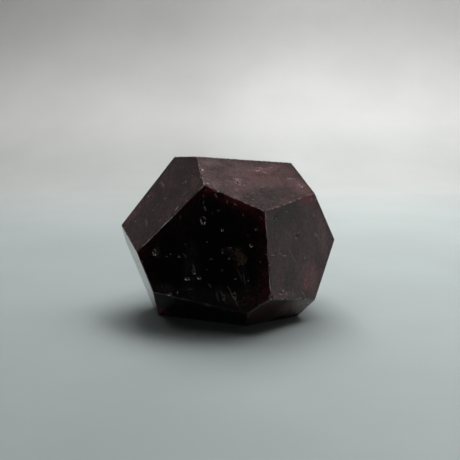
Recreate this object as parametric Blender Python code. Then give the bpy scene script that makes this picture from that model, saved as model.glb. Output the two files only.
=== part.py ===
"""A cut and polished garnet crystal: one solid with fourteen flat facets, worn edges, small chips and pits.

The stone stands on its bed facet with the origin on that facet, under the crystal's centre. +Z is up and the large
front facet looks along -Y. Each facet is the plane that a grinding lap leaves: it is given by the compass direction
that it faces, its tilt above the horizon and its distance from the centre.
"""

import math

import bmesh
import bpy
from mathutils import Matrix, Vector

MM = 0.001

BED = "bed"
CENTRE_HEIGHT = 19.9  # mm from the bed facet up to the crystal's centre
ROUGH_BLOCK = 120.0  # mm, side of the rough that the facets are cut from

# name: (azimuth in degrees, 0 = -Y and 90 = +X; tilt in degrees; distance in mm)
FACETS = {
    BED: (0.0, -90.0, CENTRE_HEIGHT),
    "front": (-11.7, 1.9, 20.75),
    "upper_left": (-54.6, 35.2, 23.95),
    "upper_right": (30.5, 59.6, 22.25),
    "right": (44.2, 4.9, 23.15),
    "left": (-72.2, -18.9, 26.75),
    "lower_front": (-21.9, -45.7, 24.1),
    "lower_right": (31.4, -43.2, 25.75),
    "top": (157.5, 82.6, 22.8),
    "rear_upper_left": (-126.9, 29.9, 22.95),
    "rear_upper_right": (98.4, 27.4, 25.45),
    "rear_lower_right": (105.6, -27.6, 23.45),
    "rear_lower_left": (-135.6, -28.0, 22.7),
    "back": (165.3, 0.0, 23.5),
}

EDGE_WEAR = 0.24  # mm from an edge to the far side of its rounding, on both facets
EDGE_SEGMENTS = 2

# Nicks in the edges. Each row: the two facets, the share of their edge from its upper end, then the length along the
# edge, the breadth across it and the bite below it, in mm.
NICKS = [
    ("upper_left", "upper_right", 0.47, 1.4, 1.3, 0.3),
    ("upper_left", "upper_right", 0.69, 1.8, 1.7, 0.42),
    ("upper_left", "front", 0.52, 1.3, 1.0, 0.22),
    ("upper_left", "left", 0.35, 1.6, 1.2, 0.28),
    ("upper_right", "front", 0.24, 1.2, 1.0, 0.2),
    ("upper_right", "right", 0.64, 1.4, 1.1, 0.24),
    ("front", "right", 0.3, 1.0, 0.9, 0.2),
    ("front", "right", 0.985, 2.2, 2.0, 0.5),
    ("right", "lower_right", 0.1, 1.1, 0.9, 0.18),
    ("right", "lower_right", 0.24, 3.4, 1.5, 0.28),
    ("right", "lower_right", 0.37, 1.5, 1.9, 0.4),
    ("right", "lower_right", 0.45, 2.6, 1.3, 0.24),
    ("right", "lower_right", 0.62, 4.2, 1.9, 0.34),
    ("right", "lower_right", 0.7, 1.3, 1.6, 0.42),
    ("right", "lower_right", 0.87, 2.7, 1.4, 0.26),
    ("front", "lower_front", 0.2, 2.0, 1.4, 0.3),
    ("front", "lower_front", 0.58, 2.6, 1.7, 0.36),
    ("front", "lower_right", 0.45, 1.7, 1.4, 0.32),
    ("left", "rear_lower_left", 0.3, 1.7, 1.3, 0.3),
    ("left", "rear_lower_left", 0.74, 2.4, 1.9, 0.44),
    ("rear_upper_left", "upper_left", 0.28, 1.3, 1.0, 0.24),
    ("rear_upper_left", "back", 0.55, 2.6, 2.0, 0.46),
    ("rear_upper_right", "rear_lower_right", 0.4, 2.0, 1.5, 0.34),
    ("rear_upper_right", "top", 0.66, 1.6, 1.2, 0.28),
    ("rear_lower_right", "back", 0.35, 2.3, 1.8, 0.42),
    ("rear_lower_right", BED, 0.5, 2.4, 1.6, 0.36),
    ("rear_lower_left", "back", 0.7, 1.6, 1.2, 0.28),
    ("back", "top", 0.3, 1.9, 1.5, 0.32),
    ("back", BED, 0.6, 2.1, 1.5, 0.34),
]

# Pits in the facets. Each row: the facet, how far right and uphill the pit lies from the foot of the facet's distance
# line, then its width, height and depth, in mm.
PITS = [
    ("upper_left", -10.2, -1.2, 1.0, 1.3, 0.22),
    ("upper_left", 3.6, 5.2, 1.1, 0.8, 0.18),
    ("upper_left", -6.0, 5.6, 0.9, 1.2, 0.16),
    ("upper_right", 3.4, 2.8, 1.4, 1.0, 0.2),
    ("upper_right", -5.1, -2.4, 1.9, 1.7, 0.26),
    ("upper_right", 11.0, -1.8, 0.8, 0.8, 0.2),
    ("upper_right", 12.7, -6.2, 1.5, 1.1, 0.2),
    ("front", -2.9, 8.4, 1.6, 2.3, 0.3),
    ("front", 2.1, 6.1, 0.9, 0.9, 0.22),
    ("front", 9.6, 2.4, 0.9, 1.0, 0.24),
    ("front", 3.7, 0.8, 4.3, 2.1, 0.18),
    ("front", 4.9, -0.6, 2.4, 1.7, 0.16),
    ("front", -5.3, -5.1, 1.0, 1.5, 0.2),
    ("front", -7.1, -7.0, 1.5, 1.0, 0.24),
    ("front", -3.9, -6.6, 1.2, 0.9, 0.22),
    ("front", -11.8, -11.4, 1.1, 1.1, 0.22),
    ("front", -15.9, -0.5, 1.2, 2.0, 0.24),
    ("front", 5.4, -10.8, 1.0, 2.2, 0.24),
    ("front", 2.6, -11.4, 0.9, 1.8, 0.2),
    ("right", 2.2, 2.2, 1.2, 1.4, 0.24),
    ("right", 5.3, -4.7, 0.7, 2.4, 0.2),
    ("right", 9.9, 1.5, 0.9, 0.9, 0.2),
    ("right", 4.6, -11.1, 0.9, 1.6, 0.22),
    ("right", -3.7, -11.7, 1.7, 1.3, 0.3),
    ("right", -5.7, 7.8, 0.8, 1.7, 0.24),
    ("back", -6.0, 4.5, 1.4, 1.8, 0.3),
    ("back", 3.2, -7.4, 1.0, 1.0, 0.22),
    ("back", 8.5, 3.0, 1.8, 1.0, 0.24),
    ("rear_upper_left", 4.4, -3.0, 1.2, 1.5, 0.26),
    ("rear_upper_left", -6.2, 3.4, 0.9, 0.8, 0.18),
    ("rear_lower_right", -5.2, 2.0, 1.4, 1.0, 0.28),
    ("rear_lower_left", 3.0, 1.0, 1.1, 1.6, 0.24),
    ("rear_upper_right", 2.6, 1.8, 0.9, 1.2, 0.2),
    ("top", 4.0, -2.2, 1.2, 0.9, 0.24),
    ("top", -7.5, 1.6, 0.8, 1.1, 0.18),
]

BALL_DETAIL = 2  # subdivisions of the ball that scoops out a nick or a pit
BALL_SUNK = 0.5  # share of the ball's radius that lies below the surface
BALL_SPREAD = math.sqrt(1.0 - (1.0 - BALL_SUNK) ** 2)  # radius of the hollow's rim against the ball's radius


def facet_normal(name):
    azimuth, tilt, _ = FACETS[name]
    azimuth, tilt = math.radians(azimuth), math.radians(tilt)
    level = math.cos(tilt)
    return Vector((level * math.sin(azimuth), -level * math.cos(azimuth), math.sin(tilt)))


def centre():
    return Vector((0.0, 0.0, CENTRE_HEIGHT * MM))


def facet_foot(name):
    """The point of the facet's plane that is nearest to the crystal's centre."""
    return centre() + facet_normal(name) * FACETS[name][2] * MM


def grind_facets():
    """The rough block with every facet cut, as a bmesh whose faces carry their facet's number."""
    stone = bmesh.new()
    bmesh.ops.create_cube(stone, size=ROUGH_BLOCK * MM)
    bmesh.ops.translate(stone, verts=stone.verts, vec=centre())
    number = stone.faces.layers.int.new("facet")
    for index, name in enumerate(FACETS):
        whole = stone.verts[:] + stone.edges[:] + stone.faces[:]
        cut = bmesh.ops.bisect_plane(
            stone, geom=whole, plane_co=facet_foot(name), plane_no=facet_normal(name), clear_outer=True
        )
        rim = [item for item in cut["geom_cut"] if isinstance(item, bmesh.types.BMEdge)]
        for face in bmesh.ops.contextual_create(stone, geom=rim)["faces"]:
            face[number] = index
    bmesh.ops.recalc_face_normals(stone, faces=stone.faces)
    return stone


def edge_between(stone, first, second):
    """The two ends of the edge where two facets meet, the upper end first."""
    names = list(FACETS)
    number = stone.faces.layers.int["facet"]
    wanted = {names.index(first), names.index(second)}
    for edge in stone.edges:
        if {face[number] for face in edge.link_faces} == wanted:
            ends = sorted((vert.co.copy() for vert in edge.verts), key=lambda point: -point.z)
            return ends[0], ends[1]
    raise ValueError(f"facets {first} and {second} don't meet")


def scoop(cutters, place, along, outward, length, breadth, depth):
    """Adds one flattened ball, sunk into the surface at its place so that it leaves a hollow of the given size."""
    across = outward.cross(along).normalized()
    turn = Matrix((along.normalized(), across, outward)).transposed().to_4x4()
    radius = depth / BALL_SUNK
    size = Matrix.Diagonal((length / 2 / BALL_SPREAD, breadth / 2 / BALL_SPREAD, radius, 1.0))
    middle = Matrix.Translation(place + outward * (radius - depth))
    bmesh.ops.create_icosphere(cutters, subdivisions=BALL_DETAIL, radius=1.0, matrix=middle @ turn @ size)


def scoop_nicks(cutters, stone):
    for first, second, share, length, breadth, bite in NICKS:
        upper, lower = edge_between(stone, first, second)
        outward = (facet_normal(first) + facet_normal(second)).normalized()
        place = upper.lerp(lower, share)
        scoop(cutters, place, lower - upper, outward, length * MM, breadth * MM, bite * MM)


def scoop_pits(cutters):
    for name, right, uphill, width, height, depth in PITS:
        outward = facet_normal(name)
        level = Vector((0.0, 0.0, 1.0)).cross(outward).normalized()
        slope = outward.cross(level)
        place = facet_foot(name) + level * right * MM + slope * uphill * MM
        scoop(cutters, place, level, outward, width * MM, height * MM, depth * MM)


def add_object(name, shape, colour, roughness):
    """An object with its own material, made from a bmesh."""
    mesh = bpy.data.meshes.new(name)
    shape.to_mesh(mesh)
    shape.free()
    made = bpy.data.objects.new(name, mesh)
    bpy.context.scene.collection.objects.link(made)
    material = bpy.data.materials.new(name)
    material.use_nodes = True
    surface = material.node_tree.nodes["Principled BSDF"]
    surface.inputs["Base Color"].default_value = (*colour, 1.0)
    surface.inputs["Roughness"].default_value = roughness
    surface.inputs["Metallic"].default_value = 0.0
    mesh.materials.append(material)
    return made


def wear_edges(crystal):
    wear = crystal.modifiers.new("edge_wear", "BEVEL")
    wear.width = EDGE_WEAR * MM
    wear.segments = EDGE_SEGMENTS
    wear.limit_method = "NONE"


def take_away(crystal, cutter):
    cutter.hide_render = True
    cutter.display_type = "WIRE"
    cut = crystal.modifiers.new("nicks_and_pits", "BOOLEAN")
    cut.operation = "DIFFERENCE"
    cut.solver = "EXACT"
    cut.object = cutter
    cut.use_self = True  # neighbouring nicks run into each other


def build():
    for old in list(bpy.data.objects):
        bpy.data.objects.remove(old)

    stone = grind_facets()
    hollows = bmesh.new()
    scoop_nicks(hollows, stone)
    scoop_pits(hollows)

    crystal = add_object("garnet_crystal", stone, colour=(0.045, 0.012, 0.014), roughness=0.12)
    cutter = add_object("hollow_balls", hollows, colour=(0.5, 0.5, 0.5), roughness=0.5)
    wear_edges(crystal)
    take_away(crystal, cutter)


build()
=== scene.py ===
import math

import bmesh
import bpy
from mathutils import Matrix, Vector


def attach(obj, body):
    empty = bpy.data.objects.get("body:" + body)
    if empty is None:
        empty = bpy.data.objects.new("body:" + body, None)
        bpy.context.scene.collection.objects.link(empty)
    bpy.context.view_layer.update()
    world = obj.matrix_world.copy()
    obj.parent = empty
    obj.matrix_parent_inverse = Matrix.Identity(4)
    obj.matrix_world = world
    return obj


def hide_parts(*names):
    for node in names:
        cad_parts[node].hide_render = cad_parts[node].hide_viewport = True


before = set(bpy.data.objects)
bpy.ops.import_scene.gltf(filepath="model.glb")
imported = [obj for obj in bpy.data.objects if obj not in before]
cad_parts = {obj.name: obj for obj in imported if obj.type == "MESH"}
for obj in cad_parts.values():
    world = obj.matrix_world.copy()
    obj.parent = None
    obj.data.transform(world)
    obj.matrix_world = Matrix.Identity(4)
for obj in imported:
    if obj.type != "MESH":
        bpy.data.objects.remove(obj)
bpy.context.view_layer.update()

mm = 0.001
scene = bpy.context.scene


# small helpers for the node trees

def addNode(tree, kind, inputs=None, **settings):
    node = tree.nodes.new(kind)
    for key, value in settings.items():
        setattr(node, key, value)
    for key, value in (inputs or {}).items():
        plug(tree, node.inputs[key], value)
    return node


def plug(tree, socket, value):
    if isinstance(value, bpy.types.NodeSocket):
        tree.links.new(value, socket)
    elif socket.type == "RGBA" and len(value) == 3:
        socket.default_value = (*value, 1.0)
    else:
        socket.default_value = value


def sums(tree, operation, *values):
    node = addNode(tree, "ShaderNodeMath", operation=operation)
    for socket, value in zip(node.inputs, values):
        plug(tree, socket, value)
    return node.outputs[0]


def vectorSums(tree, operation, *values):
    node = addNode(tree, "ShaderNodeVectorMath", operation=operation)
    for socket, value in zip(node.inputs, values):
        plug(tree, socket, value)
    return node.outputs["Value" if operation in ("DOT_PRODUCT", "LENGTH") else "Vector"]


def ease(tree, value, low, high, toLow=0.0, toHigh=1.0):
    # value from low to high becomes toLow to toHigh, softly, and stays there outside
    return addNode(tree, "ShaderNodeMapRange", {
        "Value": value, "From Min": low, "From Max": high, "To Min": toLow, "To Max": toHigh,
    }, interpolation_type="SMOOTHSTEP").outputs["Result"]


def blendColours(tree, share, first, second):
    node = addNode(tree, "ShaderNodeMix", data_type="RGBA")
    plug(tree, node.inputs[0], share)
    plug(tree, node.inputs[6], first)
    plug(tree, node.inputs[7], second)
    return node.outputs[2]


def noise(tree, place, size, detail=4.0, roughness=0.55, distortion=0.0):
    # size is the width of one blotch, in the units of place
    return addNode(tree, "ShaderNodeTexNoise", {
        "Vector": place, "Scale": 1.0 / size, "Detail": detail, "Roughness": roughness,
        "Distortion": distortion,
    }).outputs["Fac"]


def readAttribute(tree, name):
    return addNode(tree, "ShaderNodeAttribute", attribute_name=name).outputs["Fac"]


def newMaterial(name):
    material = bpy.data.materials.new(name)
    material.use_nodes = True
    return material, material.node_tree, material.node_tree.nodes["Principled BSDF"]


def addObject(name, mesh):
    made = bpy.data.objects.new(name, mesh)
    scene.collection.objects.link(made)
    return made


# the facets: which way each one looks and how its lap marks run, then from 0 to 1 the haze under its polish,
# partly painted light as it is set high on the facets that look lit and nil on the front, the painted red
# glow along its edges, the light that it gives to its neighbours' painted glow and the dust in its hollows,
# partly painted shade as it is less on the front and lower facets

facets = {  # azimuth (0 is -Y, 90 is +X), tilt and lap in degrees
    "front": {"azimuth": -11.7, "tilt": 1.9, "lap": 84.0,
              "hazeAndPaintedLight": 0.0, "paintedGlow": 1.0, "light": 0.0, "dustAndPaintedShade": 0.12},
    "upperLeft": {"azimuth": -54.6, "tilt": 35.2, "lap": 51.0,
                  "hazeAndPaintedLight": 0.52, "paintedGlow": 0.15, "light": 0.15, "dustAndPaintedShade": 0.7},
    "upperRight": {"azimuth": 30.5, "tilt": 59.6, "lap": 20.0,
                   "hazeAndPaintedLight": 1.0, "paintedGlow": 0.1, "light": 0.75, "dustAndPaintedShade": 1.0},
    "right": {"azimuth": 44.2, "tilt": 4.9, "lap": 97.0,
              "hazeAndPaintedLight": 0.75, "paintedGlow": 0.4, "light": 0.3, "dustAndPaintedShade": 0.9},
    "left": {"azimuth": -72.2, "tilt": -18.9, "lap": 15.0,
             "hazeAndPaintedLight": 0.25, "paintedGlow": 0.3, "light": 0.1, "dustAndPaintedShade": 0.5},
    "lowerFront": {"azimuth": -21.9, "tilt": -45.7, "lap": 40.0,
                   "hazeAndPaintedLight": 0.015, "paintedGlow": 0.3, "light": 0.0, "dustAndPaintedShade": 0.2},
    "lowerRight": {"azimuth": 31.4, "tilt": -43.2, "lap": 130.0,
                   "hazeAndPaintedLight": 0.5, "paintedGlow": 0.15, "light": 0.1, "dustAndPaintedShade": 0.6},
    "top": {"azimuth": 157.5, "tilt": 82.6, "lap": 35.0,
            "hazeAndPaintedLight": 0.8, "paintedGlow": 0.1, "light": 0.8, "dustAndPaintedShade": 1.0},
    "rearUpperLeft": {"azimuth": -126.9, "tilt": 29.9, "lap": 75.0,
                      "hazeAndPaintedLight": 0.6, "paintedGlow": 0.3, "light": 0.7, "dustAndPaintedShade": 0.9},
    "rearUpperRight": {"azimuth": 98.4, "tilt": 27.4, "lap": 110.0,
                       "hazeAndPaintedLight": 0.7, "paintedGlow": 0.3, "light": 0.8, "dustAndPaintedShade": 0.9},
    "rearLowerRight": {"azimuth": 105.6, "tilt": -27.6, "lap": 50.0,
                       "hazeAndPaintedLight": 0.2, "paintedGlow": 0.8, "light": 0.1, "dustAndPaintedShade": 0.5},
    "rearLowerLeft": {"azimuth": -135.6, "tilt": -28.0, "lap": 160.0,
                      "hazeAndPaintedLight": 0.2, "paintedGlow": 0.8, "light": 0.1, "dustAndPaintedShade": 0.5},
    "back": {"azimuth": 165.3, "tilt": 0.0, "lap": 92.0,
             "hazeAndPaintedLight": 0.35, "paintedGlow": 0.5, "light": 0.4, "dustAndPaintedShade": 0.6},
    "bed": {"azimuth": 0.0, "tilt": -90.0, "lap": 5.0,
            "hazeAndPaintedLight": 0.3, "paintedGlow": 0.3, "light": 0.0, "dustAndPaintedShade": 0.6},
}
facetStep = 100.0  # mm between two facets' places on the shared UV map
stoneCentre = Vector((0.0, 0.0, 19.9 * mm))
sameWay = 0.9995  # cosine of two directions that count as one


def facing(azimuth, tilt):
    level = math.cos(math.radians(tilt))
    turn = math.radians(azimuth)
    return Vector((level * math.sin(turn), -level * math.cos(turn), math.sin(math.radians(tilt))))


def facetPlanes(shape):
    # reads each facet's exact normal and distance from the large faces of the stone
    planes = []
    for name, facet in facets.items():
        aim = facing(facet["azimuth"], facet["tilt"])
        widest = max((f for f in shape.faces if f.normal.dot(aim) > sameWay), key=lambda f: f.calc_area())
        planes.append((widest.normal.copy(), widest.normal.dot(widest.verts[0].co)))
    return planes


def facetAxes(normal):
    # level and uphill directions in a facet
    level = Vector((0.0, 0.0, 1.0)).cross(normal)
    level = level.normalized() if level.length > 0.001 else Vector((1.0, 0.0, 0.0))
    return level, normal.cross(level)


def gapsTo(planes, point):
    # how deep a point lies under each facet's plane, with the facet's number, the shallowest first
    gaps = [distance - normal.dot(point) for normal, distance in planes]
    return sorted((gap, number) for number, gap in enumerate(gaps))


planeSlack = 0.004 * mm
wornReach = 0.235 * mm  # the rounding along an edge lies this close to both of its facets
cornerReach = 1.5 * wornReach
acrossSlack = 0.03  # how far a face of the rounding may lean along its edge, as a sine


def facetUnder(face, planes):
    # the number of the facet that a face is part of, or -1
    for number, (normal, distance) in enumerate(planes):
        if normal.dot(face.normal) < sameWay:
            continue
        if all(abs(distance - normal.dot(vert.co)) < planeSlack for vert in face.verts):
            return number
    return -1


def isWornEdge(face, planes):
    # a face of the rounding looks across its edge; at a corner it lies near a third facet
    for vert in face.verts:
        if gapsTo(planes, vert.co)[1][0] > wornReach:
            return False
    near = gapsTo(planes, face.calc_center_median())
    first, second = planes[near[0][1]][0], planes[near[1][1]][0]
    ridge = first.cross(second).normalized()
    return abs(ridge.dot(face.normal)) < acrossSlack or near[2][0] < cornerReach


# the stone's finishes

garnet = {
    "black": (0.002, 0.0005, 0.0007),
    # the haze colour is also a painted sheen on the facets that look lit
    "hazeAndPaintedLight": (0.28, 0.125, 0.125),
    # paintedGlowRed, glowReach and glowPatch: the painted red glow along the edges
    "paintedGlowRed": (0.36, 0.02, 0.034),
    "veil": (0.5, 0.26, 0.27),
    "speck": (0.6, 0.45, 0.45),
    # frost: the rubbed edges, also a painted highlight where light comes in over them
    "rubbedFrostAndHighlight": (0.42, 0.27, 0.27),  # the rubbed edges
    "glowReach": 1.05 * mm,  # the glow fades to a third over this depth from an edge
    "rubbedAndLitEdge": (0.06 * mm, 0.34 * mm),  # an edge is palest to the first depth, and rubbed to the second
    "blotch": 6.0 * mm,  # the widths of the patterns, from here to smear
    "grain": 1.1 * mm,
    "glowPatch": 2.6 * mm,
    "crack": 4.5 * mm,
    "veilCrack": 0.9 * mm,
    "speckSpacing": 1.5 * mm,
    "rubbedPatch": 1.6 * mm,
    "smear": 8.0 * mm,
    "bump": 0.03 * mm,
    "roughness": 0.05,
    "ior": 1.79,
    "transmission": 0.3,
    "scatter": 0.5,
    "scatterRadius": (1.0, 0.25, 0.25),
    "scatterScale": 1.6 * mm,
    "absorption": (0.62, 0.03, 0.07),
    "density": 420.0,  # per metre
}
# patches of colour under the polish: facet, mm right and uphill, half width and half height in mm, turn,
# colour, strength; most are cloudy patches, and the ones marked below are painted light or shade
patchesAndPaintedLight = [
    ("front", (6.6, -0.6), (1.7, 2.7), 15.0, (0.26, 0.17, 0.1), 0.5),
    ("front", (8.0, -5.5), (1.2, 4.0), 12.0, (0.12, 0.08, 0.08), 0.25),
    ("front", (-15.3, -0.4), (0.9, 1.7), 0.0, (0.22, 0.19, 0.13), 0.3),
    ("front", (3.6, -11.2), (4.0, 1.8), -35.0, (0.2, 0.12, 0.12), 0.35),
    ("front", (-6.0, -4.0), (2.2, 7.0), 0.0, (0.09, 0.08, 0.08), 0.3),
    # painted light: the pale lower left corner of the front, a painted reflection of the floor with painted
    # glow
    ("front", (-13.0, -11.2), (3.2, 2.2), -15.0, (0.18, 0.1, 0.1), 0.5),
    # darkens the painted glow at the upper left of the front
    ("front", (-7.8, 9.6), (8.0, 4.0), 48.0, (0.022, 0.006, 0.004), 0.8),
    # painted reflection of the floor along the bottom of the front
    ("front", (-5.0, -12.0), (13.0, 3.0), -8.0, (0.035, 0.032, 0.032), 0.9),
    # painted red glow along the top edge of the front, and at its lower right in the next two
    ("front", (5.6, 13.4), (7.0, 2.0), -20.0, (0.16, 0.02, 0.016), 0.6),
    ("front", (12.8, -8.4), (2.0, 5.5), -4.0, (0.11, 0.026, 0.036), 0.6),
    ("front", (9.6, -11.4), (5.0, 3.2), 10.0, (0.1, 0.03, 0.035), 0.7),
    ("upperRight", (-5.0, -2.0), (1.5, 2.0), 0.0, (0.6, 0.3, 0.32), 0.5),
    ("upperRight", (4.5, 2.8), (4.5, 1.2), 0.0, (0.55, 0.28, 0.3), 0.45),
    ("upperRight", (11.8, -5.6), (3.0, 4.4), 20.0, (0.55, 0.28, 0.3), 0.38),
    ("upperRight", (3.6, -2.8), (4.6, 2.6), 0.0, (0.2, 0.12, 0.105), 0.75),
    ("upperRight", (-2.2, -9.6), (6.5, 4.0), 15.0, (0.03, 0.012, 0.012), 1.8),
    ("upperRight", (3.6, -8.0), (5.0, 2.4), 8.0, (0.04, 0.015, 0.015), 0.7),
    ("upperLeft", (-14.5, -6.0), (3.0, 4.5), 0.0, (0.4, 0.15, 0.17), 0.55),
    ("upperLeft", (-9.8, -1.6), (2.2, 1.8), 0.0, (0.4, 0.15, 0.17), 0.4),
    ("upperLeft", (7.4, 5.6), (2.4, 1.8), 0.0, (0.4, 0.2, 0.19), 0.35),
    # painted red glow along the top edge of the right facet
    ("right", (6.6, 11.4), (4.0, 1.0), 13.0, (0.3, 0.02, 0.04), 1.2),
    ("right", (6.8, -9.5), (3.0, 4.6), 10.0, (0.6, 0.17, 0.22), 0.5),
    ("right", (12.5, 1.0), (2.2, 7.0), 8.0, (0.6, 0.27, 0.32), 0.4),
    ("right", (-2.0, -8.0), (3.6, 3.0), 0.0, (0.012, 0.006, 0.007), 1.2),
    ("right", (-2.0, 8.0), (6.0, 3.6), 15.0, (0.012, 0.004, 0.005), 1.5),
    ("right", (-4.5, -13.0), (6.0, 1.2), 0.0, (0.6, 0.3, 0.3), 0.35),
    # painted reflection of the floor at the right end of the lower right facet
    ("lowerRight", (9.0, 3.4), (6.5, 4.5), 0.0, (0.42, 0.32, 0.32), 1.0),
    # painted red glow at the left corner of the lower front facet
    ("lowerFront", (-14.2, -1.2), (2.2, 3.4), 0.0, (0.5, 0.02, 0.09), 0.7),
]
fleckColours = {
    "white": (0.85, 0.72, 0.7),
    "pale": (0.6, 0.48, 0.47),
    "pink": (0.62, 0.34, 0.34),
    "rose": (0.6, 0.1, 0.15),
    "dark": (0.006, 0.001, 0.002),
}
# single flaws: facet, mm right and uphill, half length and half width in mm, turn, colour, strength
flecks = [
    ("upperLeft", (-10.6, -1.2), (0.7, 0.30), -25.0, "white", 0.9),
    ("upperLeft", (-7.4, 3.2), (2.1, 0.25), -30.0, "pale", 0.4),
    ("upperLeft", (-4.5, -8.4), (1.6, 0.20), -35.0, "pale", 0.3),
    ("upperLeft", (5.7, -2.5), (0.8, 0.25), -90.0, "white", 0.5),
    ("upperLeft", (3.1, 5.0), (0.8, 0.20), -35.0, "pale", 0.5),
    ("upperLeft", (5.7, 2.1), (1.1, 0.20), 70.0, "pale", 0.35),
    ("upperRight", (-13.7, 4.3), (0.55, 0.5), 75.0, "white", 1.0),
    ("upperRight", (-13.1, 4.2), (0.45, 0.4), 75.0, "white", 1.0),
    ("upperRight", (-15.1, 1.1), (0.6, 0.55), 85.0, "white", 1.0),
    ("upperRight", (-14.5, 1.9), (0.5, 0.30), 70.0, "dark", 0.95),
    ("upperRight", (-14.2, -1.8), (0.5, 0.25), -50.0, "white", 0.6),
    ("upperRight", (-5.2, -1.1), (1.0, 0.50), 75.0, "pink", 0.6),
    ("upperRight", (-5.6, -2.6), (0.8, 0.35), -20.0, "white", 0.75),
    ("upperRight", (3.0, 2.6), (0.6, 0.35), 25.0, "white", 0.9),
    ("upperRight", (4.7, 3.6), (0.8, 0.30), -10.0, "pink", 0.6),
    ("upperRight", (4.9, 1.5), (0.8, 0.40), -25.0, "pink", 0.6),
    ("upperRight", (8.3, 3.7), (0.5, 0.20), -15.0, "pale", 0.5),
    ("upperRight", (10.8, -1.8), (0.4, 0.40), 75.0, "white", 0.95),
    ("upperRight", (12.5, -5.6), (1.2, 0.60), -75.0, "pink", 0.5),
    ("right", (2.5, 2.6), (0.7, 0.20), 80.0, "pale", 0.5),
    ("right", (1.9, 1.7), (0.8, 0.25), 5.0, "white", 0.7),
    ("right", (9.9, 1.4), (1.0, 0.25), -40.0, "pale", 0.7),
    ("right", (5.1, -4.7), (1.2, 0.15), -65.0, "white", 0.7),
    ("right", (-7.7, -1.5), (0.7, 0.15), -5.0, "pale", 0.6),
    ("right", (-4.9, -1.5), (0.5, 0.15), -55.0, "pale", 0.5),
    ("right", (-3.3, -2.2), (1.0, 0.15), -5.0, "pale", 0.7),
    ("right", (-0.3, -2.7), (3.5, 0.15), -55.0, "pale", 0.25),
    ("right", (4.6, -11.1), (1.7, 0.75), -85.0, "rose", 0.9),
    ("right", (-4.0, -11.6), (1.0, 0.30), -40.0, "white", 0.9),
    ("right", (-5.5, -11.9), (0.7, 0.20), -20.0, "white", 0.6),
    ("right", (-5.7, 8.0), (0.9, 0.40), 45.0, "dark", 0.85),
    ("right", (3.4, -13.5), (1.3, 0.20), -50.0, "pale", 0.45),
    ("right", (8.6, 11.1), (0.7, 0.70), -75.0, "rose", 0.6),
    ("front", (-2.8, 14.6), (0.5, 0.20), -90.0, "pale", 0.22),
    ("front", (-2.8, 12.9), (0.6, 0.2), 80.0, "pale", 0.25),
    ("front", (-2.4, 11.5), (0.7, 0.30), -75.0, "pale", 0.4),
    ("front", (-3.3, 8.9), (0.6, 0.20), 20.0, "pale", 0.4),
    ("front", (-2.7, 7.5), (0.4, 0.25), -55.0, "pale", 0.5),
    ("front", (0.1, 16.0), (0.9, 0.25), -25.0, "pink", 0.4),
    ("front", (0.4, 14.8), (0.7, 0.30), -55.0, "pink", 0.4),
    ("front", (3.3, 13.3), (0.5, 0.2), -75.0, "pink", 0.35),
    ("front", (5.4, 12.7), (0.45, 0.2), -35.0, "pale", 0.35),
    ("front", (7.4, 10.1), (0.4, 0.2), -65.0, "pale", 0.3),
    ("front", (1.9, 6.1), (0.35, 0.2), -60.0, "pale", 0.35),
    ("front", (9.4, 2.4), (0.4, 0.30), -60.0, "white", 0.9),
    ("front", (2.7, 0.2), (0.8, 0.20), -20.0, "pale", 0.4),
    ("front", (4.0, 0.1), (0.8, 0.20), 10.0, "pale", 0.4),
    ("front", (6.6, -5.2), (2.4, 0.35), -65.0, "pale", 0.06),
    ("front", (7.9, -6.4), (1.5, 0.30), -80.0, "pale", 0.08),
    ("front", (-7.3, -7.0), (0.6, 0.2), -10.0, "pale", 0.12),
    ("front", (-4.6, -6.7), (0.5, 0.2), -35.0, "pale", 0.1),
    ("front", (-5.4, -3.9), (1.0, 0.30), -75.0, "pale", 0.18),
    ("front", (-7.8, -0.9), (0.8, 0.20), -45.0, "pale", 0.18),
    ("front", (-12.4, -11.7), (0.6, 0.35), -35.0, "pale", 0.3),
    ("front", (0.9, -11.3), (1.5, 0.25), -75.0, "pale", 0.16),
    ("front", (2.1, -10.6), (1.2, 0.2), -65.0, "pale", 0.2),
    ("front", (4.1, -9.3), (1.2, 0.25), -60.0, "pale", 0.18),
    ("front", (4.9, -10.8), (1.0, 0.25), -55.0, "pale", 0.28),
    ("front", (6.0, -12.7), (1.2, 0.25), -65.0, "pink", 0.2),
    ("front", (-1.1, -8.5), (0.7, 0.20), -55.0, "pale", 0.22),
    ("front", (-6.4, -9.8), (0.8, 0.20), 20.0, "pale", 0.16),
    ("front", (11.9, 9.6), (0.6, 0.20), -65.0, "pink", 0.3),
]


def edgeFields(tree, place, planes):
    # how far a point of the skin lies under the next facet's plane, and the light that comes in over the
    # edge, a painted field that drives the painted glow and the painted edge highlight
    nearest, second = None, 1.0
    light = sums(tree, "MULTIPLY", readAttribute(tree, "light"), -1.0)
    for look, (normal, distance) in zip(facets.values(), planes):
        gap = sums(tree, "SUBTRACT", distance, vectorSums(tree, "DOT_PRODUCT", place, tuple(normal)))
        fade = sums(tree, "EXPONENT", sums(tree, "DIVIDE", gap, -garnet["glowReach"]))
        light = sums(tree, "MULTIPLY_ADD", fade, look["light"], light)
        if nearest is None:
            nearest = gap
            continue
        second = sums(tree, "MINIMUM", second, sums(tree, "MAXIMUM", nearest, gap))
        nearest = sums(tree, "MINIMUM", nearest, gap)
    return second, light


def turnedMap(tree, map, angle):
    turn = addNode(tree, "ShaderNodeVectorRotate", {"Vector": map, "Angle": angle}, rotation_type="Z_AXIS")
    return turn.outputs["Vector"]


def scratches(tree, map, angle, stretch, threshold):
    # thin broken lines: stretch is the scale along and across them, per mm
    lines = vectorSums(tree, "MULTIPLY", turnedMap(tree, map, angle), (*stretch, 1.0))
    lines = noise(tree, lines, 1.0, detail=2.0)
    return ease(tree, lines, threshold, threshold + 0.07)


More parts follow.
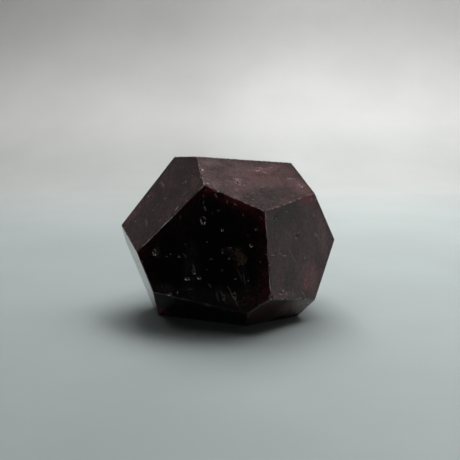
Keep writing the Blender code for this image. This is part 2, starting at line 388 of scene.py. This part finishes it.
def ragged(tree, map, size, reach):
    # the map with its outlines torn: size of the tears and how far they reach, in mm
    tears = addNode(tree, "ShaderNodeTexNoise", {
        "Vector": map, "Scale": 1.0 / size, "Detail": 5.0, "Roughness": 0.7,
    })
    tears = vectorSums(tree, "SUBTRACT", tears.outputs["Color"], (0.5, 0.5, 0.5))
    tears = vectorSums(tree, "MULTIPLY", tears, (2.0 * reach, 2.0 * reach, 0.0))
    return vectorSums(tree, "ADD", map, tears)


def patch(tree, map, facet, at, half, turn):
    # the square of how far a point is from the middle of an oval in a facet: 1 is its rim
    middle = (list(facets).index(facet) * facetStep + at[0], at[1], 0.0)
    cosine, sine = math.cos(math.radians(turn)), math.sin(math.radians(turn))
    offset = vectorSums(tree, "SUBTRACT", map, middle)
    along = vectorSums(tree, "DOT_PRODUCT", offset, (cosine / half[0], sine / half[0], 0.0))
    across = vectorSums(tree, "DOT_PRODUCT", offset, (-sine / half[1], cosine / half[1], 0.0))
    return sums(tree, "MULTIPLY_ADD", along, along, sums(tree, "MULTIPLY", across, across))


def addPatchesAndPaintedLight(tree, base, map, place):
    torn = ragged(tree, map, 1.1, 1.7)
    cracked = noise(tree, place, garnet["veilCrack"], detail=6.0, roughness=0.75, distortion=1.2)
    cracked = ease(tree, cracked, 0.35, 0.62)
    for facet, at, half, turn, colour, strength in patchesAndPaintedLight:
        far = patch(tree, torn, facet, at, half, turn)
        patchShare = sums(tree, "MULTIPLY", ease(tree, far, 0.0, 1.6, strength, 0.0), cracked)
        base = blendColours(tree, patchShare, base, colour)
    return base


def addFlecks(tree, base, map):
    torn = ragged(tree, map, 0.4, 0.3)
    for facet, at, half, turn, colour, strength in flecks:
        far = patch(tree, torn, facet, at, half, turn)
        base = blendColours(tree, ease(tree, far, 0.2, 1.4, strength, 0.0), base, fleckColours[colour])
    return base


def absorb(tree):
    volume = addNode(tree, "ShaderNodeVolumeAbsorption", {
        "Color": garnet["absorption"], "Density": garnet["density"],
    })
    tree.links.new(volume.outputs["Volume"], tree.nodes["Material Output"].inputs["Volume"])


def polishedGarnet(planes):
    material, tree, shader = newMaterial("polishedGarnet")
    map = addNode(tree, "ShaderNodeUVMap", uv_map="lapMap").outputs["UV"]
    place = addNode(tree, "ShaderNodeTexCoord").outputs["Object"]
    hazeAndPaintedLight = readAttribute(tree, "hazeAndPaintedLight")
    lapAngle = readAttribute(tree, "lapAngle")
    gap, light = edgeFields(tree, place, planes)

    # black body, with blotches and grain of haze just under the polish; the haze is partly painted light, set
    # per facet and weaker near the painted glow
    blotches = noise(tree, place, garnet["blotch"], detail=5.0, roughness=0.6)
    blotches = ease(tree, blotches, 0.3, 0.7, 0.45, 1.0)
    grain = noise(tree, place, garnet["grain"], detail=6.0, roughness=0.75)
    grain = ease(tree, grain, 0.34, 0.66, 0.4, 1.0)
    share = sums(tree, "MULTIPLY", sums(tree, "MULTIPLY", blotches, grain), hazeAndPaintedLight)
    share = sums(tree, "MULTIPLY", share, ease(tree, light, 0.0, 0.7, 1.0, 0.35))
    base = blendColours(tree, share, garnet["black"], garnet["hazeAndPaintedLight"])

    # painted red glow where a neighbouring facet lets light in
    patchy = noise(tree, place, garnet["glowPatch"], detail=5.0, roughness=0.65)
    patchy = ease(tree, patchy, 0.34, 0.62, 0.12, 1.0)
    paintedGlow = sums(tree, "MULTIPLY", sums(tree, "MULTIPLY", light, patchy), readAttribute(tree, "paintedGlow"))
    base = blendColours(tree, paintedGlow, base, garnet["paintedGlowRed"])

    # healed cracks, lap streaks and scratches
    crack = noise(tree, place, garnet["crack"], detail=7.0, roughness=0.7, distortion=0.8)
    crack = sums(tree, "MULTIPLY", ease(tree, crack, 0.58, 0.74), sums(tree, "MULTIPLY", hazeAndPaintedLight, 0.5))
    base = blendColours(tree, crack, base, garnet["veil"])
    base = addPatchesAndPaintedLight(tree, base, map, place)
    base = addFlecks(tree, base, map)
    marks = vectorSums(tree, "MULTIPLY", turnedMap(tree, map, lapAngle), (0.3, 2.2, 1.0))
    marks = noise(tree, marks, 1.0, detail=5.0, roughness=0.65)
    streak = sums(tree, "MULTIPLY", ease(tree, marks, 0.46, 0.7), sums(tree, "MULTIPLY", hazeAndPaintedLight, 0.14))
    base = blendColours(tree, streak, base, garnet["veil"])
    fine = sums(tree, "MAXIMUM", scratches(tree, map, lapAngle, (0.4, 6.0), 0.66),
                scratches(tree, map, sums(tree, "ADD", lapAngle, 0.7), (0.5, 6.5), 0.69))
    shown = sums(tree, "MULTIPLY_ADD", hazeAndPaintedLight, 0.35, 0.06)
    base = blendColours(tree, sums(tree, "MULTIPLY", fine, shown), base, garnet["speck"])

    # specks
    cells = addNode(tree, "ShaderNodeTexVoronoi", {"Vector": place, "Scale": 1.0 / garnet["speckSpacing"]})
    chosen = addNode(tree, "ShaderNodeSeparateColor", {"Color": cells.outputs["Color"]}).outputs
    speck = ease(tree, cells.outputs["Distance"], 0.05, 0.15, 1.0, 0.0)
    speck = sums(tree, "MULTIPLY", speck, ease(tree, chosen["Red"], 0.88, 1.0, 0.0, 0.7))
    base = blendColours(tree, speck, base, garnet["speck"])

    # the rubbed edges are paler, and only where light comes in over them, so this is partly a painted
    # highlight
    rubbedAndLitEdge = ease(tree, gap, *garnet["rubbedAndLitEdge"], 0.7, 0.0)
    worn = noise(tree, place, garnet["rubbedPatch"], detail=5.0, roughness=0.7)
    rubbedAndLitEdge = sums(tree, "MULTIPLY", rubbedAndLitEdge, ease(tree, worn, 0.4, 0.6, 0.15, 1.0))
    lit = sums(tree, "ADD", light, readAttribute(tree, "light"))
    rubbedAndLitEdge = sums(tree, "MULTIPLY", rubbedAndLitEdge, ease(tree, lit, 0.0, 0.8))
    base = blendColours(tree, rubbedAndLitEdge, base, garnet["rubbedFrostAndHighlight"])
    tree.links.new(base, shader.inputs["Base Color"])

    smears = noise(tree, place, garnet["smear"], detail=6.0, roughness=0.65)
    rough = sums(tree, "ADD", garnet["roughness"], ease(tree, marks, 0.35, 0.75, 0.0, 0.05))
    rough = sums(tree, "ADD", rough, ease(tree, smears, 0.4, 0.68, 0.0, 0.1))
    rough = sums(tree, "ADD", rough, sums(tree, "MULTIPLY", rubbedAndLitEdge, 0.35))
    tree.links.new(sums(tree, "ADD", rough, sums(tree, "MULTIPLY", speck, 0.3)), shader.inputs["Roughness"])
    height = sums(tree, "ADD", sums(tree, "MULTIPLY", marks, 0.2), smears)
    height = sums(tree, "SUBTRACT", height, sums(tree, "MULTIPLY", fine, 0.1))
    bump = addNode(tree, "ShaderNodeBump", {
        "Strength": 0.5, "Distance": garnet["bump"], "Height": height,
    })
    tree.links.new(bump.outputs["Normal"], shader.inputs["Normal"])

    shader.inputs["IOR"].default_value = garnet["ior"]
    shader.inputs["Transmission Weight"].default_value = garnet["transmission"]
    shader.inputs["Subsurface Weight"].default_value = garnet["scatter"]
    shader.inputs["Subsurface Radius"].default_value = garnet["scatterRadius"]
    shader.inputs["Subsurface Scale"].default_value = garnet["scatterScale"]
    absorb(tree)
    return material


breaks = {
    "fresh": (0.012, 0.002, 0.003),
    "dusty": (0.58, 0.4, 0.4),
    "patch": 1.1 * mm,
    "grain": 0.25 * mm,
    "bump": 0.06 * mm,
}


def brokenGarnet():
    material, tree, shader = newMaterial("brokenGarnet")
    place = addNode(tree, "ShaderNodeTexCoord").outputs["Object"]
    patches = noise(tree, place, breaks["patch"], detail=3.0)
    grain = noise(tree, place, breaks["grain"], detail=4.0, roughness=0.6)
    dustAndPaintedShade = sums(tree, "MULTIPLY", ease(tree, grain, 0.38, 0.62), ease(tree, patches, 0.42, 0.6, 0.2, 1.0))
    # the dust share per facet is less on the front and lower facets, so it is partly painted shade
    dustAndPaintedShade = sums(tree, "MULTIPLY", dustAndPaintedShade, readAttribute(tree, "dustAndPaintedShade"))
    base = blendColours(tree, dustAndPaintedShade, breaks["fresh"], breaks["dusty"])
    tree.links.new(base, shader.inputs["Base Color"])
    tree.links.new(ease(tree, dustAndPaintedShade, 0.0, 1.0, 0.12, 0.5), shader.inputs["Roughness"])
    bump = addNode(tree, "ShaderNodeBump", {
        "Strength": 0.6, "Distance": breaks["bump"], "Height": grain,
    })
    tree.links.new(bump.outputs["Normal"], shader.inputs["Normal"])
    shader.inputs["IOR"].default_value = garnet["ior"]
    shader.inputs["Transmission Weight"].default_value = garnet["transmission"]
    absorb(tree)
    return material


# fine nicks along the edges and pin pits in the facets

wear = {
    "Nick spacing": 2.6 * mm,
    "Nick size": 0.42 * mm,
    "Nick share": 0.7,
    "Pit density": 24000.0,  # per square metre
    "Pit size": 0.42 * mm,
    "Seed": 23,
}


def ridgeLines(planes):
    # the sharp line between each two neighbouring facets: its ends and the direction out of the stone
    lines = []
    for i, (first, firstGap) in enumerate(planes):
        for second, secondGap in planes[i + 1:]:
            along = first.cross(second)
            if along.length < 0.05:
                continue
            along.normalize()
            cosine = first.dot(second)
            a = (firstGap - secondGap * cosine) / (1.0 - cosine * cosine)
            b = (secondGap - firstGap * cosine) / (1.0 - cosine * cosine)
            start = first * a + second * b
            low, high = -1.0, 1.0
            for normal, distance in planes:
                slope, room = normal.dot(along), distance - normal.dot(start)
                if slope > 1e-6:
                    high = min(high, room / slope)
                elif slope < -1e-6:
                    low = max(low, room / slope)
                elif room < -planeSlack:
                    low = high
            if high - low > 1.0 * mm:
                lines.append((start + along * low, start + along * high, (first + second).normalized()))
    return lines


def addRidges(shape, planes):
    # loose lines that the wear follows, marked so that the tree can part them from the skin
    outward = shape.verts.layers.float_vector.new("outward")
    ridge = shape.edges.layers.bool.new("ridge")
    for start, end, out in ridgeLines(planes):
        ends = [shape.verts.new(start), shape.verts.new(end)]
        for vert in ends:
            vert[outward] = out
        shape.edges.new(ends)[ridge] = True


def readMark(tree, name, kind):
    return addNode(tree, "GeometryNodeInputNamedAttribute", {"Name": name}, data_type=kind).outputs[0]


def randomVector(tree, low, high, seed, scale=None):
    value = addNode(tree, "FunctionNodeRandomValue", {
        0: low, 1: high, "Seed": seed,
    }, data_type="FLOAT_VECTOR").outputs[0]
    if scale is None:
        return value
    scaled = addNode(tree, "ShaderNodeVectorMath", {0: value, "Scale": scale}, operation="SCALE")
    return scaled.outputs["Vector"]


def plugRotation(tree, node, euler):
    turn = addNode(tree, "FunctionNodeEulerToRotation", {"Euler": euler}).outputs[0]
    tree.links.new(turn, node.inputs["Rotation"])


def wearTree(polished, broken):
    tree = bpy.data.node_groups.new("wornSkin", "GeometryNodeTree")
    tree.interface.new_socket("Geometry", in_out="INPUT", socket_type="NodeSocketGeometry")
    for name, value in wear.items():
        kind = "NodeSocketInt" if isinstance(value, int) else "NodeSocketFloat"
        tree.interface.new_socket(name, in_out="INPUT", socket_type=kind)
    tree.interface.new_socket("Geometry", in_out="OUTPUT", socket_type="NodeSocketGeometry")
    given = addNode(tree, "NodeGroupInput").outputs
    seed = given["Seed"]

    isRidge = readMark(tree, "ridge", "BOOLEAN")
    parted = addNode(tree, "GeometryNodeSeparateGeometry", {
        "Geometry": given["Geometry"], "Selection": isRidge,
    }, domain="EDGE")
    skin = parted.outputs["Inverted"]

    # nicks
    curve = addNode(tree, "GeometryNodeMeshToCurve", {"Mesh": parted.outputs["Selection"]}).outputs["Curve"]
    points = addNode(tree, "GeometryNodeResampleCurve", {
        "Curve": curve, "Length": given["Nick spacing"],
    }, mode="LENGTH").outputs["Curve"]
    nickScale = randomVector(tree, (0.35, 0.35, 0.35), (1.0, 1.0, 1.0), seed, given["Nick size"])
    out = readMark(tree, "outward", "FLOAT_VECTOR")
    jitter = randomVector(tree, (-1.0, -1.0, -1.0), (1.0, 1.0, 1.0), seed, given["Nick size"])
    lift = vectorSums(tree, "MULTIPLY", out, addNode(tree, "ShaderNodeCombineXYZ", {
        "X": given["Nick size"], "Y": given["Nick size"], "Z": given["Nick size"],
    }).outputs[0])
    lift = vectorSums(tree, "MULTIPLY", lift, (0.35, 0.35, 0.35))
    points = addNode(tree, "GeometryNodeSetPosition", {
        "Geometry": points, "Offset": vectorSums(tree, "ADD", jitter, lift),
    }).outputs["Geometry"]
    kept = addNode(tree, "FunctionNodeRandomValue", {
        "Probability": given["Nick share"], "Seed": seed,
    }, data_type="BOOLEAN").outputs[3]
    ball = addNode(tree, "GeometryNodeMeshIcoSphere", {"Radius": 1.0, "Subdivisions": 2}).outputs["Mesh"]
    turn = randomVector(tree, (0.0, 0.0, 0.0), (math.tau, math.tau, math.tau), seed)
    nicks = addNode(tree, "GeometryNodeInstanceOnPoints", {
        "Points": points, "Selection": kept, "Instance": ball, "Scale": nickScale,
    })
    plugRotation(tree, nicks, turn)

    # pits
    scatter = addNode(tree, "GeometryNodeDistributePointsOnFaces", {
        "Mesh": skin, "Density": given["Pit density"], "Seed": seed,
    })
    pits = addNode(tree, "GeometryNodeInstanceOnPoints", {
        "Points": scatter.outputs["Points"], "Instance": ball,
        "Scale": randomVector(tree, (0.3, 0.3, 0.1), (1.0, 1.0, 0.3), seed, given["Pit size"]),
    })
    tree.links.new(scatter.outputs["Rotation"], pits.inputs["Rotation"])

    cutters = addNode(tree, "GeometryNodeJoinGeometry")
    tree.links.new(nicks.outputs["Instances"], cutters.inputs[0])
    tree.links.new(pits.outputs["Instances"], cutters.inputs[0])
    cutters = addNode(tree, "GeometryNodeRealizeInstances", {"Geometry": cutters.outputs[0]}).outputs[0]
    cutters = addNode(tree, "GeometryNodeSetMaterial", {"Geometry": cutters, "Material": broken}).outputs[0]
    worn = addNode(tree, "GeometryNodeMeshBoolean", {
        "Mesh 1": skin, "Mesh 2": cutters, "Self Intersection": True,
    }, operation="DIFFERENCE", solver="EXACT").outputs["Mesh"]
    worn = addNode(tree, "GeometryNodeRealizeInstances", {"Geometry": worn}).outputs[0]
    smooth = addNode(tree, "GeometryNodeMaterialSelection", {"Material": polished}).outputs[0]
    worn = addNode(tree, "GeometryNodeSetMaterial", {
        "Geometry": worn, "Selection": smooth, "Material": polished,
    }).outputs[0]
    addNode(tree, "NodeGroupOutput", {"Geometry": worn})
    return tree


def wearDown(crystal, polished, broken):
    modifier = crystal.modifiers.new("wear", "NODES")
    modifier.node_group = wearTree(polished, broken)
    for item in modifier.node_group.interface.items_tree:
        if item.in_out == "INPUT" and item.name in wear:
            modifier[item.identifier] = wear[item.name]
    evaluated = crystal.evaluated_get(bpy.context.evaluated_depsgraph_get())
    worn = bpy.data.meshes.new_from_object(evaluated)
    crystal.modifiers.remove(modifier)
    crystal.data = worn


# the stone itself

creaseAngle = math.radians(35.0)
stone = {"node": "garnet_crystal", "name": "polishedGarnetCrystal", "slot": "garnet", "body": "root"}


def mergedCopy(nodeName):
    shape = bmesh.new()
    shape.from_mesh(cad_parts[nodeName].data)
    bmesh.ops.remove_doubles(shape, verts=shape.verts, dist=0.0005 * mm)
    bmesh.ops.recalc_face_normals(shape, faces=shape.faces)
    return shape


def finishSkin(mesh, planes):
    # maps every face to its facet, sends hollows to the broken finish and keeps the facets flat
    shape = bmesh.new()
    shape.from_mesh(mesh)
    bmesh.ops.delete(shape, geom=[v for v in shape.verts if not v.link_faces], context="VERTS")
    map = shape.loops.layers.uv.new("lapMap")
    shares = {name: shape.faces.layers.float.new(name) for name in ("hazeAndPaintedLight", "paintedGlow", "light", "dustAndPaintedShade")}
    lap = shape.faces.layers.float.new("lapAngle")
    looks = list(facets.values())
    flat = set()
    for face in shape.faces:
        number = facetUnder(face, planes)
        if number >= 0:
            flat.add(face)
        elif face.material_index == 0 and not isWornEdge(face, planes):
            face.material_index = 1
        if number < 0:
            number = gapsTo(planes, face.calc_center_median())[0][1]
        for name, layer in shares.items():
            face[layer] = looks[number][name]
        face[lap] = math.radians(looks[number]["lap"])
        level, uphill = facetAxes(planes[number][0])
        for loop in face.loops:
            local = (loop.vert.co - stoneCentre) / mm
            loop[map].uv = (local.dot(level) + number * facetStep, local.dot(uphill))
        face.smooth = True
    for edge in shape.edges:
        rounded = not any(face in flat for face in edge.link_faces)
        edge.smooth = rounded and edge.calc_face_angle(0.0) < creaseAngle
    shape.to_mesh(mesh)
    shape.free()


def makeCrystal():
    shape = mergedCopy(stone["node"])
    planes = facetPlanes(shape)
    polished, broken = polishedGarnet(planes), brokenGarnet()
    addRidges(shape, planes)
    mesh = bpy.data.meshes.new(stone["name"])
    shape.to_mesh(mesh)
    shape.free()
    mesh.materials.append(polished)
    mesh.materials.append(broken)
    crystal = addObject(stone["name"], mesh)
    print("wearing its edges and facets")
    wearDown(crystal, polished, broken)
    finishSkin(crystal.data, planes)
    print("crystal:", len(crystal.data.polygons), "faces", [m.name for m in crystal.data.materials])
    return crystal


print("making the crystal")
crystal = makeCrystal()
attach(crystal, stone["body"])
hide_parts(stone["node"])


# floor, lights and camera

studio = {
    "colour": (0.5, 0.56, 0.555),
    "farColour": (0.575, 0.575, 0.56),
    # painted light: the floor is darker on the left and brighter on the right, and the wall brighter low down
    # and darker higher up
    "across": (-0.04, 0.06, 0.92, 1.12),  # the tone of the floor between two places from left to right
    "paintedLightUpWall": [(0.012, 0.05, 1.16), (0.05, 0.15, 0.74)],  # the tone of the wall between two heights
    "mottling": 60.0 * mm,
    "roughness": 0.8,
    "sheen": 0.05,
    "frontEdge": -36.0 * mm,  # the stone mirrors no floor in front of this
    "rightEdge": 52.0 * mm,  # or to the right of this
    "halfWidth": 0.36,
    "front": -0.42,
    "bend": 0.26,  # where the floor starts to curve up
    "radius": 0.2,
    "height": 0.25,
    "steps": 16,
    "roomLight": (0.008, 0.008, 0.008),  # what the stone gets from the room, and what shows behind the wall
    "roomColour": (0.55, 0.58, 0.57),
}
# soft panels that the facets mirror: azimuth (0 is -Y, 90 is +X) and height in degrees, distance, side in m
panels = {
    "backRight": {"azimuth": 151.0, "height": 50.0, "distance": 0.9, "side": 0.6, "brightness": 0.16},
    "leftBack": {"azimuth": -126.0, "height": 25.0, "distance": 0.8, "side": 0.6, "brightness": 0.088},
    "rightSide": {"azimuth": 93.0, "height": 4.0, "distance": 0.9, "side": 0.6, "brightness": 0.2},
    "rightHigh": {"azimuth": 91.0, "height": 38.0, "distance": 0.9, "side": 0.3, "brightness": 1.0},
    "frontLeft": {"azimuth": -72.0, "height": 28.0, "distance": 0.9, "side": 0.4, "brightness": 1.8},
    "frontHigh": {"azimuth": 25.0, "height": 49.0, "distance": 0.9, "side": 0.5, "brightness": 2.8},
    "frontRight": {"azimuth": 32.0, "height": 4.0, "distance": 0.9, "side": 0.3, "brightness": 1.2},
    "leftHigh": {"azimuth": -132.0, "height": 66.0, "distance": 0.9, "side": 0.25, "brightness": 1.5},
}
# lamps that light the stone and the floor, around the stone's centre or another point
lamps = {
    "mainLamp": {"azimuth": 180.0, "height": 61.0, "distance": 0.6, "side": 0.36, "brightness": 4.5},
    "rightLamp": {"azimuth": 110.0, "height": 65.0, "distance": 0.7, "side": 0.5, "brightness": 0.1},
    "leftLamp": {"azimuth": -128.0, "height": 52.0, "distance": 0.7, "side": 0.5, "brightness": 0.42},
    "wallLamp": {"azimuth": 20.0, "height": 60.0, "distance": 0.5, "side": 0.36, "brightness": 3.4,
                 "about": (0.19, 0.4, 0.14)},
}
cameraView = {
    "place": (-0.16 * mm, -181.98 * mm, 56.84 * mm),
    "downward": 10.584,  # degrees
    "focalPixels": 650.0,
    "framePixels": 460.0,
    "sensor": 36.0,
}


def addPanel(name, azimuth, height, distance, side, brightness, about=stoneCentre):
    data = bpy.data.lights.new(name, "AREA")
    data.size = side
    data.energy = 4.0 * brightness * side * side  # watts that give this radiance
    panel = addObject(name, data)
    direction = facing(azimuth, height)
    panel.location = Vector(about) + direction * distance
    panel.rotation_euler = direction.to_track_quat("Z", "Y").to_euler()
    panel.visible_camera = False
    return panel


def sweep(name, profile, left, right, material):
    # a strip of floor or wall: the profile is (y, z) points, front to back
    data = bpy.data.meshes.new(name)
    points = [(x, y, z) for y, z in profile for x in (left, right)]
    quads = [(2 * i, 2 * i + 1, 2 * i + 3, 2 * i + 2) for i in range(len(profile) - 1)]
    data.from_pydata(points, [], quads)
    data.shade_smooth()
    data.materials.append(material)
    strip = addObject(name, data)
    return strip


def paleFloor():
    material, tree, shader = newMaterial("paleFloor")
    place = addNode(tree, "ShaderNodeTexCoord").outputs["Object"]
    tone = ease(tree, noise(tree, place, studio["mottling"], detail=5.0), 0.3, 0.7)
    axes = addNode(tree, "ShaderNodeSeparateXYZ", {"Vector": place}).outputs
    far = ease(tree, axes["Y"], 0.0, studio["bend"] + studio["radius"])
    colour = blendColours(tree, far, studio["colour"], studio["farColour"])
    value = sums(tree, "MULTIPLY_ADD", tone, 0.06, 0.97)
    # painted light across the floor and up the wall
    value = sums(tree, "MULTIPLY", value, ease(tree, axes["X"], *studio["across"]))
    for low, high, change in studio["paintedLightUpWall"]:
        value = sums(tree, "MULTIPLY", value, ease(tree, axes["Z"], low, high, 1.0, change))
    shade = addNode(tree, "ShaderNodeHueSaturation", {"Color": colour, "Value": value})
    tree.links.new(shade.outputs["Color"], shader.inputs["Base Color"])
    shader.inputs["Roughness"].default_value = studio["roughness"]
    shader.inputs["Specular IOR Level"].default_value = studio["sheen"]
    return material


def makeStudio():
    material = paleFloor()
    half, rightEdge = studio["halfWidth"], studio["rightEdge"]
    turns = [math.pi / 2 * i / studio["steps"] for i in range(studio["steps"] + 1)]
    bend, radius = studio["bend"], studio["radius"]
    curve = [(bend + radius * math.sin(turn), radius * (1.0 - math.cos(turn))) for turn in turns]
    cove = [(studio["frontEdge"], 0.0)] + curve + [(bend + radius, studio["height"])]
    sweep("cove", cove, -half, rightEdge, material)
    sweep("coveRight", cove, rightEdge, half, material).visible_glossy = False
    sweep("apron", [(studio["front"], 0.0), cove[0]], -half, half, material).visible_glossy = False
    for name, values in panels.items():
        addPanel(name, **values).visible_diffuse = False
    for name, values in lamps.items():
        addPanel(name, **values).visible_glossy = False


def makeRoom():
    world = bpy.data.worlds.new("room")
    scene.world = world
    world.use_nodes = True
    tree = world.node_tree
    seen = addNode(tree, "ShaderNodeLightPath").outputs["Is Camera Ray"]
    shade = blendColours(tree, seen, studio["roomLight"], studio["roomColour"])
    tree.links.new(shade, tree.nodes["Background"].inputs["Color"])


def makeCamera():
    data = bpy.data.cameras.new("view")
    data.sensor_width = cameraView["sensor"]
    data.lens = cameraView["focalPixels"] / cameraView["framePixels"] * cameraView["sensor"]
    data.clip_start = 0.005
    camera = addObject("view", data)
    camera.location = cameraView["place"]
    camera.rotation_euler = (math.radians(90.0 - cameraView["downward"]), 0.0, 0.0)
    scene.camera = camera


print("setting up the studio")
makeStudio()
makeRoom()
makeCamera()
scene.view_settings.view_transform = "Standard"
scene.view_settings.look = "None"
